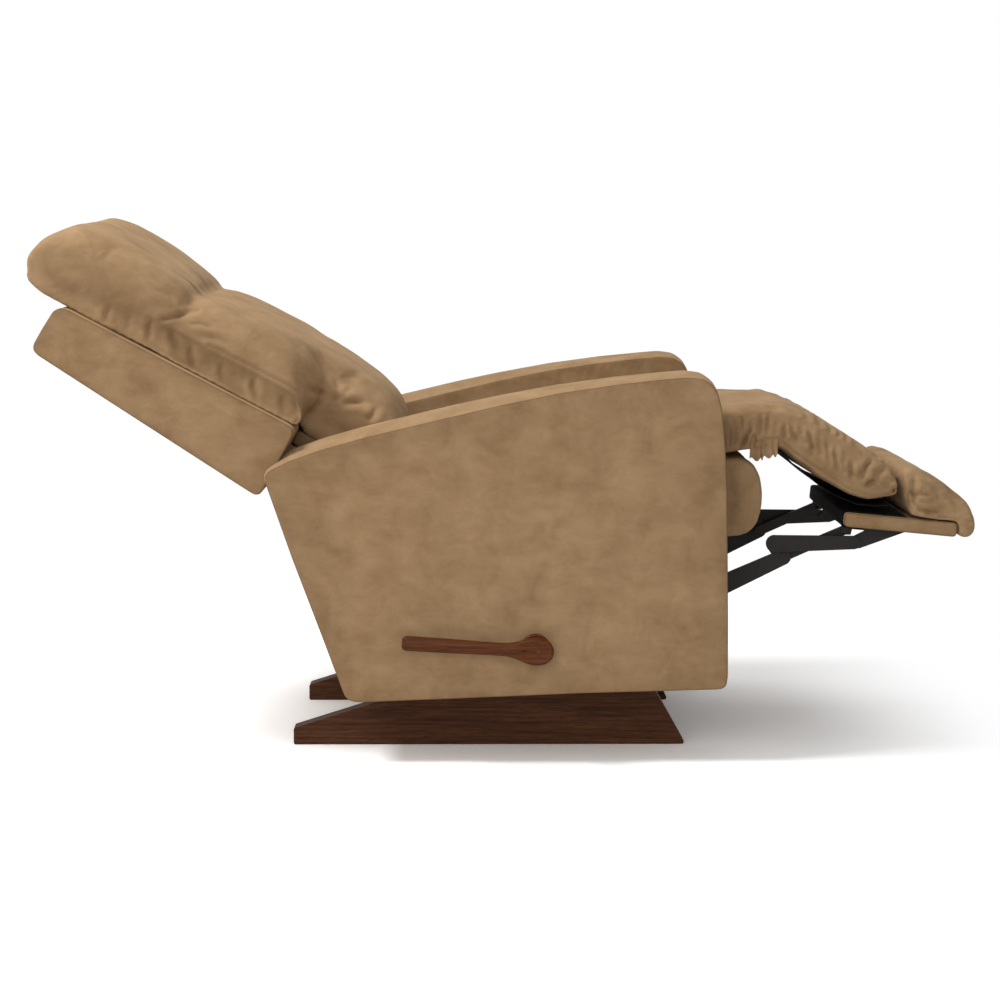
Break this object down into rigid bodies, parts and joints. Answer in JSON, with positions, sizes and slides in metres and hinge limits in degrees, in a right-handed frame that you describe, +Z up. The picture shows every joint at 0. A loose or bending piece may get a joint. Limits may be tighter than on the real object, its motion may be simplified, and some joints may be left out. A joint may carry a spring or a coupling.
{
  "type": "rocker recliner chair",
  "caption": "Upholstered rocker recliner on wooden base rails, shown fully reclined with its padded leg rest out and a wooden side lever.",
  "frame": {"origin": "on the floor, on the centre plane, under the middle of the two base rails", "axes": "+X forward, towards the leg rest; +Z up; the lever is on the -Y side, the sitter's right"},
  "size_m": [1.6688, 0.8403, 0.9269],
  "materials": {
    "cover_fabric": "napped microfibre cover over foam",
    "stained_wood": "dark stained, satin",
    "frame_wood": "bare, planed",
    "handle_wood": "red-brown stained, gloss",
    "painted_steel": "black-brown paint",
    "bright_steel": "zinc plated",
    "black_plastic": "moulded",
    "black_cloth": "woven dust cloth"
  },
  "bodies": {
    "base": {"base_rail_right": "stained_wood", "base_rail_left": "stained_wood", "base_cross_rail_front": "stained_wood", "base_cross_rail_rear": "stained_wood", "base_corner_angles": "painted_steel", "base_angle_screws": "bright_steel", "spring_brackets_lower": "painted_steel", "rocker_springs": "bright_steel"},
    "body": {"rocker_blocks": "frame_wood", "body_side_rails": "frame_wood", "body_cross_rail_front": "frame_wood", "body_cross_rail_rear": "frame_wood", "body_glue_blocks": "frame_wood", "arm_outer_cover_right": "cover_fabric", "arm_outer_cover_left": "cover_fabric", "arm_inner_cover_right": "cover_fabric", "arm_inner_cover_left": "cover_fabric", "arm_frame_right": "frame_wood", "arm_frame_left": "frame_wood", "arm_top_pad_right": "cover_fabric", "arm_top_pad_left": "cover_fabric", "spring_brackets_upper": "painted_steel", "shaft_bearings": "painted_steel", "handle_boss": "handle_wood", "seat_runners": "frame_wood", "back_pivot_pins": "bright_steel"},
    "handle": {"drive_shaft": "painted_steel", "drive_cranks": "painted_steel", "handle_lever": "handle_wood", "handle_screw": "bright_steel"},
    "seat": {"seat_side_rail_right": "frame_wood", "seat_side_rail_left": "frame_wood", "seat_cross_rail_front": "frame_wood", "seat_cross_rail_rear": "frame_wood", "seat_springs": "bright_steel", "seat_cushion": "cover_fabric", "seat_front_roll": "cover_fabric", "seat_glides": "black_plastic", "mechanism_plates": "painted_steel", "root_rivets": "painted_steel"},
    "long_links": {"long_link_right": "painted_steel", "long_link_left": "painted_steel", "leg_cross_tube": "painted_steel", "knuckle_rivets": "painted_steel"},
    "short_link_pair": {"short_links": "painted_steel", "foot_rivets": "painted_steel"},
    "cross_link_pair": {"cross_links": "painted_steel"},
    "ottoman": {"ottoman_board": "cover_fabric", "ottoman_brackets": "painted_steel", "toe_pad": "cover_fabric"},
    "knee_rest": {"knee_pad": "cover_fabric", "knee_pad_lining": "black_cloth"},
    "back": {"back_shell": "cover_fabric", "back_front_panel": "cover_fabric", "back_stiles": "frame_wood", "back_rails": "frame_wood", "lower_back_pad": "cover_fabric", "back_cushion": "cover_fabric", "head_pillow": "cover_fabric", "back_hinge_plates": "painted_steel"}
  },
  "joints": [
    {"name": "rock", "type": "hinge", "parent": "base", "child": "body", "pos_m": [0.01, 0, 0.0979], "axis": [0, 1, 0], "range_deg": [-4, 4], "stiffness_Nm_per_rad": 900, "springref_deg": 0.57, "deforming": ["rocker_springs"]},
    {"name": "back_recline", "type": "hinge", "parent": "body", "child": "back", "pos_m": [-0.303, 0, 0.505], "axis": [0, 1, 0], "range_deg": [0, 32]},
    {"name": "seat_slide", "type": "slide", "parent": "body", "child": "seat", "axis": [0.9903, 0, 0.1392], "range_m": [-0.046, 0]},
    {"name": "leg_rest", "type": "hinge", "parent": "seat", "child": "long_links", "pos_m": [0.381, 0, 0.346], "axis": [0, 1, 0], "range_deg": [0, 140]},
    {"name": "short_link_turn", "type": "hinge", "parent": "long_links", "child": "short_link_pair", "pos_m": [0.51, 0, 0.358], "axis": [0, 1, 0], "range_deg": [-171.6, 0]},
    {"name": "cross_link_turn", "type": "hinge", "parent": "long_links", "child": "cross_link_pair", "pos_m": [0.526, 0, 0.333], "axis": [0, 1, 0], "range_deg": [-145.2, 0]},
    {"name": "ottoman_turn", "type": "hinge", "parent": "short_link_pair", "child": "ottoman", "pos_m": [0.652, 0, 0.36], "axis": [0, 1, 0], "range_deg": [0, 116.2]},
    {"name": "knee_pad_turn", "type": "hinge", "parent": "seat", "child": "knee_rest", "pos_m": [0.508, 0, 0.531], "axis": [0, 1, 0], "range_deg": [0, 58.1]},
    {"name": "handle_turn", "type": "hinge", "parent": "body", "child": "handle", "pos_m": [0.078, 0, 0.202], "axis": [0, 1, 0], "range_deg": [0, 150.1]}
  ],
  "couplings": [
    {"joint": "seat_slide", "follows": "back_recline", "m_per_rad": -0.080572},
    {"joint": "short_link_turn", "follows": "leg_rest", "ratio": -1.225},
    {"joint": "cross_link_turn", "follows": "leg_rest", "ratio": -1.036},
    {"joint": "ottoman_turn", "follows": "leg_rest", "ratio": 0.829},
    {"joint": "knee_pad_turn", "follows": "leg_rest", "ratio": 0.41429},
    {"joint": "handle_turn", "follows": "leg_rest", "ratio": 1.0714}
  ]
}
